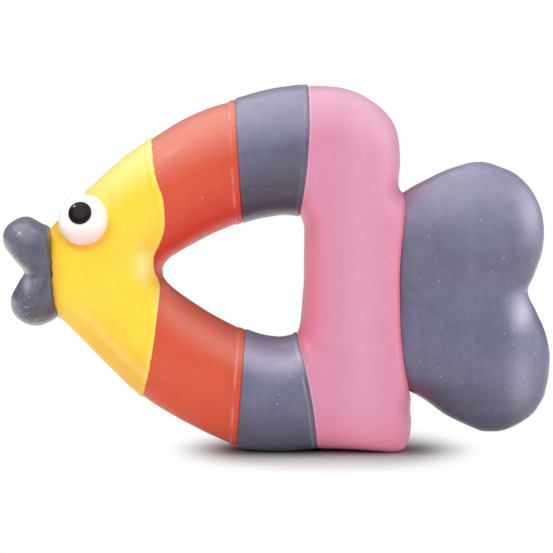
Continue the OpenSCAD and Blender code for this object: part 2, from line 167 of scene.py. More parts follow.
# Angle between an eye's line of sight and the last ring of points around it
LAST_RING = 0.02

# Size of the fibre's mesh, in millimetres
FIBRE_VOXEL = 1.6

# Numbers that a skin's points carry for its material: tones, painted shade, pale tones and painted
# highlights, pebbles and specks
MARKS = ("tint", "painted_shade", "pale", "pebbled", "speckled")


# Ribs, sections and surfaces

def ease(value, start, end):
    """From 0 to 1 between two places, with a soft start and end."""
    t = np.clip((value - start) / (end - start), 0, 1)
    return t * t * (3 - 2 * t)


def blend4(a, b, c, d, t):
    """Smooth curve through four rows in turn, between the second and the third."""
    return b + t * (c - a) / 2 + t * t * (a - 2.5 * b + 2 * c - d / 2) + t ** 3 * (3 * (b - c) + d - a) / 2


def ring_rows(rows, places):
    """Rows at places along a closed list of rows."""
    count = len(rows)
    i = np.floor(places).astype(int)
    t = (places - i)[:, None]
    return blend4(rows[(i - 1) % count], rows[i % count], rows[(i + 1) % count], rows[(i + 2) % count], t)


def open_rows(rows, places, before=None, after=None):
    """Rows at places along an open list of rows, with a row before and one after that steer its ends."""
    padded = np.vstack([rows[0] if before is None else before, rows, rows[-1] if after is None else after])
    i = np.minimum(np.floor(places).astype(int), len(rows) - 2)
    t = (places - i)[:, None]
    return blend4(padded[i], padded[i + 1], padded[i + 2], padded[i + 3], t)


def turned_over(rib):
    """A level rib turned end for end."""
    return np.array([rib[2], rib[1], rib[0], rib[3], -rib[4], rib[5], rib[6], rib[7]])


def body_ribs():
    """The body's ribs in millimetres: inner x, z, outer x, z, half thickness, squareness, taper and bow."""
    rows = np.array([(*row, 0)[:5] for row in BODY_RIBS], float)
    return np.column_stack([
        HOLE_X + HOLE_LEN * rows[:, 0] / 100,
        HOLE_Z + HOLE_H * rows[:, 1] / 100,
        NECK_X + BODY_LEN * rows[:, 2] / 100,
        BODY_Z + BODY_H * rows[:, 3] / 100,
        np.full(len(rows), BODY_THICK / 2),
        ARM_SQUARE + (REAR_SQUARE - ARM_SQUARE) * ease(rows[:, 2], 65, 90),
        NOSE_TAPER * ease(-rows[:, 2], -35, 0),
        rows[:, 4]])


def level_ribs(table, x, length, z, height, thick, square):
    """Level ribs of the tail or the lips in the same form."""
    rows = np.array(table, float)
    heights = z + height * rows[:, 2] / 100
    return np.column_stack([
        x + length * rows[:, 0] / 100, heights, x + length * rows[:, 1] / 100, heights,
        thick / 2 * rows[:, 3] / 100, np.full(len(rows), square), np.zeros((len(rows), 2))])


BODY = body_ribs()
TAIL = level_ribs(TAIL_RIBS, TAIL_X, TAIL_LEN, TAIL_Z, TAIL_H, TAIL_THICK, TAIL_SQUARE)
LIPS = level_ribs(LIP_RIBS, -TOTAL_LEN / 2, LIP_LEN, LIP_Z, LIP_H, LIP_THICK, LIP_SQUARE)


def sections(ribs, angles, lift=0.0):
    """Points around ribs, of shape (ribs, angles, 3): angle 0 is the outer end and pi the inner end."""
    inner = ribs[:, None, 0:2]
    outer = ribs[:, None, 2:4]
    half = np.linalg.norm(outer - inner, axis=2, keepdims=True) / 2
    along = (outer - inner) / (2 * half)
    c = np.cos(angles)[None, :, None]
    s = np.sin(angles)[None, :, None]
    square = ribs[:, None, 5:6]
    reach = (np.abs(c) ** square + np.abs(s) ** square) ** (-1 / square)
    across = reach * c
    bow = ribs[:, None, 7:8] * (1 - across ** 2) * np.stack([along[..., 1], -along[..., 0]], axis=-1)
    place = (inner + outer) / 2 + along * (half + lift) * across + bow
    side = (ribs[:, None, 4:5] + lift) * reach * s * (1 - ribs[:, None, 6:7] * (1 + across) / 2)
    return np.concatenate([place[..., 0:1], -side, place[..., 1:2]], axis=2)


def strip_faces(lines, count):
    """Quads between neighbouring closed lines of points."""
    i = np.arange(lines - 1)[:, None] * count
    j = np.arange(count)[None, :]
    k = (j + 1) % count
    quads = np.stack([i + j, i + k, i + count + k, i + count + j], axis=-1)
    return [tuple(face) for face in quads.reshape(-1, 4).tolist()]


def closed_faces(lines, count):
    """Faces of a closed form of lines of points and two end points, which come after the lines."""
    low = lines * count
    last = low - count
    faces = [face[::-1] for face in strip_faces(lines, count)]
    faces += [(low, j, (j + 1) % count) for j in range(count)]
    faces += [(low + 1, last + (j + 1) % count, last + j) for j in range(count)]
    return faces


def point_normals(points, faces):
    """A unit normal at each point, from the faces around it."""
    quads = np.array([face if len(face) == 4 else (*face, face[-1]) for face in faces])
    corners = points[quads]
    face_normals = np.cross(corners[:, 2] - corners[:, 0], corners[:, 3] - corners[:, 1])
    normals = np.zeros_like(points)
    for k in range(4):
        np.add.at(normals, quads[:, k], face_normals)
    return normals / np.maximum(np.linalg.norm(normals, axis=1, keepdims=True), 1e-12)


class Surface:
    """Faces over points in millimetres, with the way off the surface and named marks at each point."""

    def __init__(self, points, faces, off=None, **marks):
        self.points = points
        self.faces = faces
        self.off = point_normals(points, faces) if off is None else off
        self.marks = marks
        self.inner = points - SKIN_WALL * self.off

    def lift(self, height):
        """Moves the points off the surface."""
        self.points = self.points + self.off * np.asarray(height)[:, None]

    def facing_up(self, start, end):
        """From 0 to 1 as the surface turns to face up."""
        return ease(self.off[:, 2] / np.linalg.norm(self.off, axis=1), start, end)

    def facing_down(self, start, end):
        """From 0 to 1 as the surface turns to face down."""
        return ease(-self.off[:, 2] / np.linalg.norm(self.off, axis=1), start, end)

    def shell(self):
        """Points and faces of a skin with its inner wall, and the number of faces that are not rims."""
        count = len(self.points)
        edges = {edge for face in self.faces for edge in zip(face, face[1:] + face[:1])}
        rims = [(b, a, a + count, b + count) for a, b in sorted(edges) if (b, a) not in edges]
        walls = self.faces + [tuple(i + count for i in face[::-1]) for face in self.faces]
        return np.vstack([self.points, self.inner]), walls + rims, len(walls)

    def cut(self, level, keep_both=False):
        """Cuts the faces where level passes 0, and drops the negative side unless both are kept."""
        above = level > 0
        made = {}
        ends = []
        kept = []
        for face in self.faces:
            sides = [above[i] for i in face]
            if all(sides) or (keep_both and not any(sides)):
                kept.append(face)
                continue
            if not any(sides):
                continue
            upper, lower = [], []
            for a, b in zip(face, face[1:] + face[:1]):
                (upper if above[a] else lower).append(a)
                if above[a] != above[b]:
                    key = (min(a, b), max(a, b))
                    if key not in made:
                        made[key] = len(self.points) + len(made)
                        ends.append((*key, level[key[0]] / (level[key[0]] - level[key[1]])))
                    upper.append(made[key])
                    lower.append(made[key])
            kept.append(tuple(upper))
            if keep_both:
                kept.append(tuple(lower))
        self.faces = kept
        if ends:
            first, second, share = (np.array(column) for column in zip(*ends))
            self.points = between(self.points, first, second, share)
            self.off = between(self.off, first, second, share)
            self.inner = between(self.inner, first, second, share)
            self.marks = {
                name: between(values, first, second, share) for name, values in self.marks.items()}
        self.drop_unused()

    def drop_unused(self):
        """Drops the points that no face uses."""
        used = np.unique([i for face in self.faces for i in face])
        number = np.full(len(self.points), -1)
        number[used] = np.arange(len(used))
        self.points = self.points[used]
        self.off = self.off[used]
        self.inner = self.inner[used]
        self.marks = {name: values[used] for name, values in self.marks.items()}
        self.faces = [tuple(number[list(face)].tolist()) for face in self.faces]


def between(values, first, second, share):
    """The values with new ones added between the pairs first and second."""
    share = share.reshape(-1, *[1] * (values.ndim - 1))
    return np.concatenate([values, values[first] * (1 - share) + values[second] * share])


def body_surface(places):
    """The body's skin through places among the ribs. outward is 1 at the outer edge and -1 at the hole."""
    angles = np.arange(AROUND) * 2 * math.pi / AROUND
    ribs = ring_rows(BODY, places)
    points = sections(ribs, angles).reshape(-1, 3)
    off = sections(ribs, angles, 1.0).reshape(-1, 3) - points
    return Surface(
        points, strip_faces(len(places), AROUND), off, outward=np.tile(np.cos(angles), len(places)))


def lobe_surface(ribs, levels, count):
    """A closed form through level ribs that come to a point at both ends."""
    angles = np.arange(count) * 2 * math.pi / count
    even = np.linspace(0, 1, levels + 1)
    rows = open_rows(ribs, (len(ribs) - 1) * even, turned_over(ribs[1]), turned_over(ribs[-2]))
    rings = sections(rows[1:-1], angles).reshape(-1, 3)
    tips = [[(row[0] + row[2]) / 2, 0, row[1]] for row in (rows[0], rows[-1])]
    return Surface(np.vstack([rings, tips]), closed_faces(levels - 1, count))


# Distances in millimetres from the lines at which the coloured sections meet

def gill_points():
    """The head's edge on the gill band as a fine line of points in length and height."""
    count = 260
    rows = np.array(GILL_EDGE, float)
    line = open_rows(rows, np.linspace(0, len(rows) - 1, count))
    return np.column_stack([NECK_X + NOSE_LEN * line[:, 0] / 100, BODY_Z + BODY_H * line[:, 1] / 100])


GILL_LINE = gill_points()


def ahead_of_gills(points):
    """Distance in front of the head's edge on the gill band."""
    at_once = 4000
    flat = points[:, [0, 2]]
    nearest = np.concatenate([
        np.linalg.norm(part[:, None] - GILL_LINE[None], axis=2).min(axis=1)
        for part in np.array_split(flat, max(len(flat) // at_once, 1))])
    edge_x = np.interp(flat[:, 1], GILL_LINE[::-1, 1], GILL_LINE[::-1, 0])
    return np.where(flat[:, 0] < edge_x, nearest, -nearest)


def behind_neck(points):
    """Distance behind the lips' joint, which is slightly wavy."""
    z = points[:, 2] - LIP_Z - LIP_H / 2
    neck = NECK_X - z * math.tan(NECK_LEAN) + 0.35 * np.sin(z * 0.42 + 0.9) + 0.1 * np.sin(z * 1.7 + 2)
    return (points[:, 0] - neck) * math.cos(NECK_LEAN)


def ahead_of_neck(points):
    """Distance in front of the lips' joint."""
    return -behind_neck(points)


def after_rib(points, rib):
    """Distance past a rib, the way the ribs run. Points on the hole's other side are far off."""
    inner, outer = BODY[rib % RING_END, 0:2], BODY[rib % RING_END, 2:4]
    half = np.linalg.norm(outer - inner) / 2
    along = (outer - inner) / (2 * half)
    from_middle = points[:, [0, 2]] - (inner + outer) / 2
    across = np.clip(from_middle @ along / half, -1, 1)
    bow = BODY[rib % RING_END, 7] * (1 - across ** 2)
    distance = from_middle @ np.array([along[1], -along[0]]) - bow
    same_side = (points[:, 2] > SQUEAKER_Z) == (outer[1] > SQUEAKER_Z)
    return np.where(same_side, distance, np.inf)


def behind_arc(points):
    """Distance behind the arc of the tail's joint."""
    return JOINT_R - np.hypot(points[:, 0] - JOINT_X, points[:, 2] - JOINT_Z)


def inside_tail(points):
    """Distance behind the tail's joint, which ends above and below."""
    return np.minimum(behind_arc(points), JOINT_REACH - np.abs(points[:, 2] - JOINT_Z))


def outside_tail(points):
    """Distance in front of the tail's joint."""
    return -inside_tail(points)


def from_squeaker(points):
    """Distance outside the squeaker's flange, on the right flank."""
    away = np.hypot(points[:, 0] - SQUEAKER_X, points[:, 2] - SQUEAKER_Z) - FLANGE_D / 2
    return np.where(points[:, 1] > 0, away, FLANGE_D)


# Soft steps, bumps and unevenness

def shoulder(distance, width):
    """From 0 at an edge to 1 past a rounded shoulder."""
    return np.sqrt(1 - (1 - np.clip(distance / width, 0, 1)) ** 2)


def hump(distance, place, width):
    """A soft bump of height 1."""
    return np.exp(-((distance - place) / width) ** 2)


def spot(points, place, width, taller=1.0):
    """A soft bump of height 1 about a place in length and height."""
    return hump(np.hypot(points[:, 0] - place[0], (points[:, 2] - place[1]) / taller), 0, width)


def lumps(points, size, seed):
    """Soft unevenness of the casting from -1 to 1, with lumps of a size in millimetres."""
    offset = Vector((seed * 17.3, seed * 5.1, seed * 9.7))
    return np.array([noise.noise(Vector(point) / size + offset) for point in points.tolist()])


def casting(points):
    """Unevenness that all the cast skins share."""
    return 0.2 * lumps(points, size=16, seed=1) + 0.07 * lumps(points, size=5, seed=2)


# Materials

def colour(text):
    """A colour written as six hex digits, in linear light."""
    parts = [int(text[i:i + 2], 16) / 255 for i in (0, 2, 4)]
    return tuple(p / 12.92 if p <= 0.04045 else ((p + 0.055) / 1.055) ** 2.4 for p in parts) + (1.0,)


class Shader:
    """A new node material with short ways to add and link nodes."""

    def __init__(self, name):
        self.material = bpy.data.materials.new(name)
        self.material.use_nodes = True
        self.tree = self.material.node_tree
        self.surface = self.tree.nodes["Principled BSDF"]
        self.place = self.add("ShaderNodeTexCoord").outputs["Object"]

    def add(self, kind, **settings):
        """A new node with settings."""
        node = self.tree.nodes.new(kind)
        for name, value in settings.items():
            setattr(node, name, value)
        return node

    def put(self, socket, value):
        """Links an output to a socket, or sets the socket's value."""
        if isinstance(value, bpy.types.NodeSocket):
            self.tree.links.new(value, socket)
        else:
            socket.default_value = value

    def stretched(self, scale):
        """The place on the piece, scaled along each axis."""
        node = self.add("ShaderNodeMapping")
        self.put(node.inputs["Vector"], self.place)
        node.inputs["Scale"].default_value = scale
        return node.outputs["Vector"]

    def noise(self, size, detail=2.0, vector=None):
        """Noise from 0 to 1 with features of a size in millimetres."""
        node = self.add("ShaderNodeTexNoise")
        self.put(node.inputs["Vector"], vector or self.place)
        node.inputs["Scale"].default_value = 1 / (size * MM)
        node.inputs["Detail"].default_value = detail
        return node.outputs["Fac"]

    def span(self, value, low, high, to_low=0.0, to_high=1.0):
        """A value brought from one range to another, and held at its ends."""
        node = self.add("ShaderNodeMapRange")
        self.put(node.inputs["Value"], value)
        for name, number in zip(("From Min", "From Max", "To Min", "To Max"), (low, high, to_low, to_high)):
            node.inputs[name].default_value = number
        return node.outputs["Result"]

    def soft_span(self, value, low, high):
        """From 0 to 1 between two places, with a soft start and end."""
        result = self.span(value, low, high)
        result.node.interpolation_type = "SMOOTHSTEP"
        return result

    def math(self, operation, a, b):
        """An operation on two numbers."""
        node = self.add("ShaderNodeMath", operation=operation)
        self.put(node.inputs[0], a)
        self.put(node.inputs[1], b)
        return node.outputs[0]

    def mix(self, share, a, b):
        """The colour a, with a share of b. The node's colour sockets come after those of other types."""
        node = self.add("ShaderNodeMix", data_type="RGBA")
        self.put(node.inputs[0], share)
        self.put(node.inputs[6], a)
        self.put(node.inputs[7], b)
        return node.outputs[2]

    def mark(self, name):
        """The number that a piece's points carry under a name."""
        return self.add("ShaderNodeAttribute", attribute_name=name).outputs["Fac"]

    def dots(self, cell, radius, share):
        """Round dots of a radius, in a share of the cells of a size, in millimetres."""
        node = self.add("ShaderNodeTexVoronoi")
        self.put(node.inputs["Vector"], self.place)
        node.inputs["Scale"].default_value = 1 / (cell * MM)
        chosen = self.math("LESS_THAN", self.red(node.outputs["Color"]), share)
        return self.math("MULTIPLY", self.span(node.outputs["Distance"], 0.0, radius / cell, 1, 0), chosen)

    def red(self, value):
        """The red part of a colour."""
        node = self.add("ShaderNodeSeparateColor")
        self.put(node.inputs["Color"], value)
        return node.outputs["Red"]

    def bump(self, height, depth, normal=None):
        """Bumps of a depth in millimetres."""
        node = self.add("ShaderNodeBump")
        node.inputs["Distance"].default_value = depth * MM
        self.put(node.inputs["Height"], height)
        if normal:
            self.put(node.inputs["Normal"], normal)
        return node.outputs["Normal"]


def latex(
        name, base, shade, tint, painted_shade, pale, rough=0.42, coat=0.12, gloss=0.45, cloudy=0.35, streaks=0.06,
        pits=0.4, specks=0.2, grain=0.04):
    """Painted cast latex: base clouded with shade, marked tones with painted shade and highlights, pin
    bubbles.
    """
    s = Shader(name)
    broad = s.span(s.noise(size=9, detail=3), 0.35, 0.7)
    close = s.span(s.noise(size=2.4, detail=4), 0.45, 0.9)
    clouds = s.math("ADD", broad, close)
    paint = s.mix(s.math("MULTIPLY", clouds, cloudy), colour(base), colour(shade))
    brushed = s.noise(size=1.8, detail=2, vector=s.stretched((1, 1, 0.1)))
    paint = s.mix(s.math("MULTIPLY", s.span(brushed, 0.45, 0.75), streaks), paint, colour(shade))
    paint = s.mix(s.math("MULTIPLY", s.span(brushed, 0.45, 0.2), 0.25 * streaks), paint, colour(pale))
    # Marked tones: a tint, partly painted shade; painted shade below, in grooves and in creases; pale, mostly
    # painted highlights and sheen
    for mark, tone in (("painted_shade", painted_shade), ("tint", tint), ("pale", pale)):
        paint = s.mix(s.mark(mark), paint, colour(tone))
    large = s.dots(cell=5.5, radius=0.35, share=pits)
    small = s.dots(cell=2.6, radius=0.22, share=pits)
    bubbles = s.math("MAXIMUM", large, small)
    paint = s.mix(s.math("MULTIPLY", bubbles, 0.5), paint, colour(shade))
    # Pale specks, some of them painted glints on pin bubbles, closer where a piece is marked speckled
    speckle_glints = s.math("MULTIPLY", s.dots(cell=0.9, radius=0.3, share=0.4), s.mark("speckled"))
    specks_and_glints = s.math("MAXIMUM", s.dots(cell=3.1, radius=0.3, share=specks), speckle_glints)
    paint = s.mix(s.math("MULTIPLY", specks_and_glints, 0.85), paint, colour(pale))
    s.put(s.surface.inputs["Base Color"], paint)
    uneven = s.noise(size=3, detail=3)
    s.put(s.surface.inputs["Roughness"], s.span(uneven, 0.3, 0.7, rough - 0.05, rough + 0.07))
    s.surface.inputs["Specular IOR Level"].default_value = gloss
    s.surface.inputs["Coat Weight"].default_value = coat
    s.surface.inputs["Coat Roughness"].default_value = 0.6 * rough
    normal = s.bump(s.noise(size=0.9, detail=3), grain)
    pebbles = s.math("MULTIPLY", s.noise(size=1.6, detail=3), s.mark("pebbled"))
    normal = s.bump(pebbles, 0.5, normal)
    normal = s.bump(s.span(brushed, 0.3, 0.7), 0.02 + 0.05 * streaks, normal)
    normal = s.bump(s.span(bubbles, 0, 1, 1, 0), 0.25, normal)
    s.put(s.surface.inputs["Normal"], normal)
    return s.material


def plastic(name, base, rough):
    """Moulded plastic with faint flow marks."""
    s = Shader(name)
    flow = s.noise(size=2.5, detail=3, vector=s.stretched((1, 0.3, 1)))
    pale = tuple(min(1.0, v * 1.12) for v in colour(base)[:3]) + (1.0,)
    s.put(s.surface.inputs["Base Color"], s.mix(s.span(flow, 0.3, 0.7), colour(base), pale))
    s.put(s.surface.inputs["Roughness"], s.span(flow, 0.3, 0.7, rough, rough + 0.12))
    s.put(s.surface.inputs["Normal"], s.bump(s.noise(size=0.35, detail=2), 0.01))
    return s.material


def fibre(name):
    """Tangled polyester fibre."""
    s = Shader(name)
    lengthwise = s.noise(size=0.4, detail=4, vector=s.stretched((1, 0.1, 1)))
    crosswise = s.noise(size=0.4, detail=4, vector=s.stretched((0.1, 1, 1)))
    strands = s.math("MAXIMUM", lengthwise, crosswise)
    s.put(s.surface.inputs["Base Color"], s.mix(strands, colour("d9d4c8"), colour("fbfaf6")))
    s.surface.inputs["Roughness"].default_value = 0.95
    s.surface.inputs["Sheen Weight"].default_value = 0.4
    s.put(s.surface.inputs["Normal"], s.bump(strands, 0.3))
    return s.material


# Each latex's colours: base and shade for its clouds, streaks and pits, a tint, a tone of painted shade, and a
# pale tone for streaks, specks and painted highlights
GREY = latex(
    "grey_latex", base="6d6e8c", shade="55526b", tint="8e5f80", painted_shade="3d3549", pale="cfcbe2",
    coat=0.5, cloudy=0.45, streaks=0.14, pits=0.6, specks=0.5)
LIP_GREY = latex(
    "lip_grey_latex", base="5c5b72", shade="454358", tint="7d5670", painted_shade="332d3c", pale="cfcbdc",
    rough=0.32, coat=0.5, cloudy=0.45, streaks=0.2, specks=0.6, grain=0.14)
YELLOW = latex(
    "yellow_latex", base="f7d636", shade="f4c524", tint="f09a2c", painted_shade="e9a224", pale="fdf6b0",
    streaks=0.12, specks=0.1)
ORANGE = latex(
    "orange_latex", base="d54f2d", shade="cb4024", tint="d2301f", painted_shade="c92a17", pale="e8b8aa",
    pits=0.5)
PINK = latex(
    "pink_latex", base="d58aa8", shade="d17d9c", tint="f67f92", painted_shade="dc7089", pale="e6cde0",
    cloudy=0.3)
WHITE = latex(
    "white_latex", base="fbf9f8", shade="f4eeec", tint="ecc5c0", painted_shade="ecc5c0", pale="ffffff",
    cloudy=0.2, pits=0.05, specks=0)
BLACK = latex(
    "black_latex", base="1c1315", shade="120c0e", tint="1c1315", painted_shade="1c1315", pale="1c1315",
    rough=0.2, coat=0.2, gloss=0.2, pits=0.1, specks=0)
PLASTIC = plastic("squeaker_plastic", base="e9e9e6", rough=0.28)
FILM = plastic("reed_film", base="d8b866", rough=0.35)
FIBRE = fibre("fibre")


# Pieces

def add_object(name, data):
    """A new object in the scene, with a mesh, lamp or camera."""
    added = bpy.data.objects.new(name, data)
    bpy.context.scene.collection.objects.link(added)
    return added


def add_piece(name, surface, material, node, hollow=True):
    """A piece from a surface that stands for a CAD node: a hollow skin, or a closed form."""
    if hollow:
        points, faces, smooth = surface.shell()
    else:
        points, faces, smooth = surface.points, surface.faces, len(surface.faces)
    mesh = bpy.data.meshes.new(name)
    mesh.from_pydata((points * MM).tolist(), [], faces)
    mesh.polygons.foreach_set("use_smooth", [i < smooth for i in range(len(faces))])
    # The points of the inner wall repeat the marks of the outer ones
    for mark in MARKS:
        values = surface.marks.get(mark, np.zeros(len(surface.points)))
        every = np.resize(values, len(points)).astype(np.float32)
        mesh.attributes.new(mark, "FLOAT", "POINT").data.foreach_set("value", every)
    mesh.materials.append(material)
    piece = add_object(name, mesh)
    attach(piece, "toy")
    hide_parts(node)


def stations(start, end, step):
    """Places among the ribs from start to end, with closer ones within four steps of both ends."""
    even = np.linspace(start, end, int(round((end - start) / step)) + 1)
    close = np.linspace(0, 4 * step, END_SECTIONS + 1)[1:-1]
    return np.unique(np.concatenate([even, start + close, end - close]))


def eye_centre():
    """Centre of the left eye, in millimetres."""
    rib = ring_rows(BODY, np.array([EYE_RIB]))
    skin = sections(rib, np.array([EYE_ANGLE]))[0, 0]
    return skin + np.array([0, -EYE_PROUD, 0])


EYE_AT = eye_centre()


def from_eye(points):
    """Distance from the axis of the nearer eye, seen from the side."""
    return np.hypot(points[:, 0] - EYE_AT[0], points[:, 2] - EYE_AT[2])


def front_surface():
    """The skin of the head and the gill band, from the lower arm round the nose to the upper arm."""
    return body_surface(stations(LOWER_FRONT - LAP / 10, RING_END + LAP / 10, FRONT_STEP))


def edge_lines(skin, distance, lines):
    """Adds lines of points at distances from an edge, for its fine shape."""
    for line in lines:
        skin.cut(distance(skin.points) - line, keep_both=True)


def stand_flat(skin):
    """Presses what would lie under the floor flat against it."""
    skin.points[:, 2] = np.maximum(skin.points[:, 2], 0)


def make_head():
    """The yellow section between the lips and the gill band."""
    skin = front_surface()
    skin.cut(behind_neck(skin.points) + LAP)
    skin.cut(ahead_of_gills(skin.points) + LAP)
    edge_lines(skin, ahead_of_gills, (0.15, 0.35, 0.6, 1.0, 1.6, 2.1, 2.4, 2.7))
    edge_lines(skin, behind_neck, (0.3, 0.7, 1.2))
    edge = ahead_of_gills(skin.points)
    neck = behind_neck(skin.points)
    eye = from_eye(skin.points)
    upper = ease(skin.points[:, 2], 44, 56)
    # The raised edge with the groove along its upper half, the neck, the rings round the eyes, the cheeks
    height = HEAD_RISE * shoulder(edge, 0.7) + 0.12 * hump(edge, 1.0, 0.7)
    height -= 0.14 * upper * hump(edge, 2.4, 0.28)
    height -= 0.12 * (1 - shoulder(neck, 1.0))
    height += 0.3 * hump(eye, EYE_D / 2, 1.2)
    swelling = spot(skin.points, CHEEK, width=2.6, taller=1.8)
    height += 0.6 * swelling
    skin.lift(height + casting(skin.points))
    # The inner wall ends in the plane of the lips' joint
    at_neck = ease(-neck, -1.5, 0)
    skin.inner[:, 0] -= at_neck * behind_neck(skin.inner)
    skin.inner[:, 1] *= 1 - 0.15 * at_neck
    # Warmer by the neck, painted shadow under the eyes and painted shade in the gills' notch, painted shade
    # below, painted highlights on top and on the cheeks, a pale line along the edge and a pale strip low down
    painted_eye_shadow = hump(eye, EYE_D / 2 + 0.5, 1.1) * ease(EYE_AT[2] - skin.points[:, 2], -4, 5)
    notch = spot(skin.points, GILL_NOTCH, width=1.8)
    skin.marks["tint"] = np.clip(0.3 * ease(-neck, -5, 0) + 0.55 * painted_eye_shadow + 0.35 * notch, 0, 1)
    skin.marks["painted_shade"] = 0.6 * skin.facing_down(0.0, 0.7)
    strip = hump(skin.marks["outward"], 0.56, 0.08) * ease(-skin.points[:, 2], -46, -40)
    pale = 0.2 * hump(edge, 0.5, 0.4) + 0.5 * skin.facing_up(0.25, 0.85) + 0.55 * swelling + 0.18 * strip
    skin.marks["pale"] = np.clip(pale, 0, 1)
    add_piece("head_skin", skin, YELLOW, "head")


def make_gill_band():
    """The orange section behind the head, round the front corner of the hole."""
    skin = front_surface()
    skin.cut(LAP - ahead_of_gills(skin.points))
    to_band = np.minimum(after_rib(skin.points, LOWER_FRONT), np.abs(after_rib(skin.points, RING_END)))
    # A bead beside each grey band, with a rounded end
    height = BEAD_RISE * ease(-to_band, -2.4, -1.8) - 0.3 * (1 - shoulder(to_band, 0.5))
    skin.lift(height + casting(skin.points))
    # Painted shade under the upper arm, painted highlights on top, on the lower arm and along the beads,
    # red by the bands and inside the hole
    z = skin.points[:, 2]
    skin.marks["painted_shade"] = 0.7 * skin.facing_down(-0.1, 0.6) * ease(z, 40, 60)
    line = 0.4 * hump(to_band, 1.9, 0.22) * ease(lumps(skin.points, size=5, seed=9), -0.4, 0.4)
    lower = ease(-z, -58, -50)
    sheen = (1 - lower) * skin.facing_up(0.05, 0.85) + lower * hump(skin.facing_up(0, 1), 0.72, 0.34)
    skin.marks["pale"] = np.clip((0.33 - 0.05 * lower) * sheen + line, 0, 1)
    inside = (0.7 - 0.5 * lower) * ease(-skin.marks["outward"], 0.8, 1)
    skin.marks["tint"] = np.maximum(0.35 * ease(-to_band, -3, 0), inside)
    skin.marks["pebbled"] = spot(skin.points, GILL_PEBBLES, width=4)
    add_piece("gill_band_skin", skin, ORANGE, "gill_band")


def make_band(name, start, end, grooved):
    """One grey ring of an arm. Its end at grooved falls into the groove beside the rear body."""
    skin = body_surface(stations(start, end, BAND_STEP))
    to_rear = np.abs(after_rib(skin.points, grooved))
    to_front = np.abs(after_rib(skin.points, start + end - grooved))
    # Rounded ends, with a fine groove beside the rear one
    height = BAND_RISE - 0.35 * (1 - shoulder(to_front, 0.6)) - 0.5 * (1 - shoulder(to_rear, 0.8))
    upper = ease(skin.points[:, 2], 50, 70)
    height -= (0.1 - 0.06 * upper) * hump(to_rear, 1.7, 0.3)
    skin.lift(height + casting(skin.points))
    stand_flat(skin)
    # A ragged dark line of painted shade in the groove at the rear end, painted shade below and inside the
    # upper arm, painted highlights on top and in a broken line along the rear end, pale specks, partly painted
    # glints, inside the upper arm
    ragged = to_rear + 0.55 * lumps(skin.points, size=1.4, seed=6)
    skin.marks["tint"] = 0.25 * ease(-to_rear, -1.2, 0)
    inward = -skin.marks["outward"]
    shade = 0.45 * upper * ease(inward, -0.7, 0.6) + 0.65 * skin.facing_down(-0.2, 0.65)
    skin.marks["painted_shade"] = np.maximum(shade, 0.75 * ease(-ragged, -0.85, -0.4))
    sheen = 0.24 * upper * skin.facing_up(0.05, 0.8)
    sheen += 0.5 * (1 - upper) * hump(skin.facing_up(0, 1), 0.7, 0.3)
    broken_highlight = ease(lumps(skin.points, size=7, seed=9), -0.4, 0.4)
    skin.marks["pale"] = sheen + (0.3 - 0.2 * upper) * hump(to_rear, 1.25, 0.25) * broken_highlight
    skin.marks["pebbled"] = 0.6 * upper * ease(inward, 0.2, 0.8)
    patchy = ease(lumps(skin.points, size=3, seed=3), 0, 0.35)
    skin.marks["speckled"] = 0.45 * upper * patchy * ease(inward, 0, 0.6) * ease(ragged, 1.5, 3)
    add_piece(name + "_skin", skin, GREY, name)


def make_rear_body():
    """The pink rear limb, drawn in round the tail's root and open round the squeaker's flange."""
    skin = body_surface(stations(UPPER_REAR, LOWER_REAR, REAR_STEP))
    skin.cut(outside_tail(skin.points) + LAP)
    skin.cut(from_squeaker(skin.points))
    edge_lines(skin, outside_tail, (0.2, 0.5, 0.9, 1.5, 2.2, 3.0))
    to_band = np.minimum(after_rib(skin.points, UPPER_REAR), np.abs(after_rib(skin.points, LOWER_REAR)))
    joint = outside_tail(skin.points)
    # Rounded ends beside the bands and a soft bead round the tail's root
    height = REAR_RISE - 0.4 * (1 - shoulder(to_band, 0.8))
    height += 0.22 * hump(joint, 1.3, 0.9) - 0.15 * (1 - shoulder(joint, 0.6))
    skin.lift(height + casting(skin.points) * ease(from_squeaker(skin.points), 0, 6))
    # Drawn in and closed across its thickness round the root
    skin.points[:, 1] *= 1 - 0.1 * (1 - shoulder(joint, 2.4))
    end_face = skin.points * np.array([1, 0.7, 1]) - 0.3 * skin.off
    skin.inner += ease(-joint, -1, 0)[:, None] * (end_face - skin.inner)
    stand_flat(skin)
    # Warm inside the hole, by the floor and round the root; painted highlights along the ends by the bands,
    # a painted sheen on top and across the middle, pale specks on the left flank
    low = ease(-skin.points[:, 2], -16, -2)
    skin.marks["tint"] = np.clip(
        0.6 * ease(-skin.marks["outward"], 0.4, 1) + 0.3 * low + 0.5 * hump(joint, 0, 1.6), 0, 1)
    x, z = skin.points[:, 0], skin.points[:, 2]
    sheen = 0.3 * skin.facing_up(0.2, 0.9) * ease(z, 60, 90) + 0.12 * hump(x, REAR_SHEEN_X, 5)
    skin.marks["pale"] = np.clip(0.4 * ease(-to_band, -0.9, -0.1) + sheen, 0, 1)
    specks_x, specks_z = REAR_SPECKS
    skin.marks["speckled"] = hump(x, specks_x, 1.2) * hump(z, specks_z, 11) * (skin.points[:, 1] < 0)
    add_piece("rear_body_skin", skin, PINK, "rear_body")


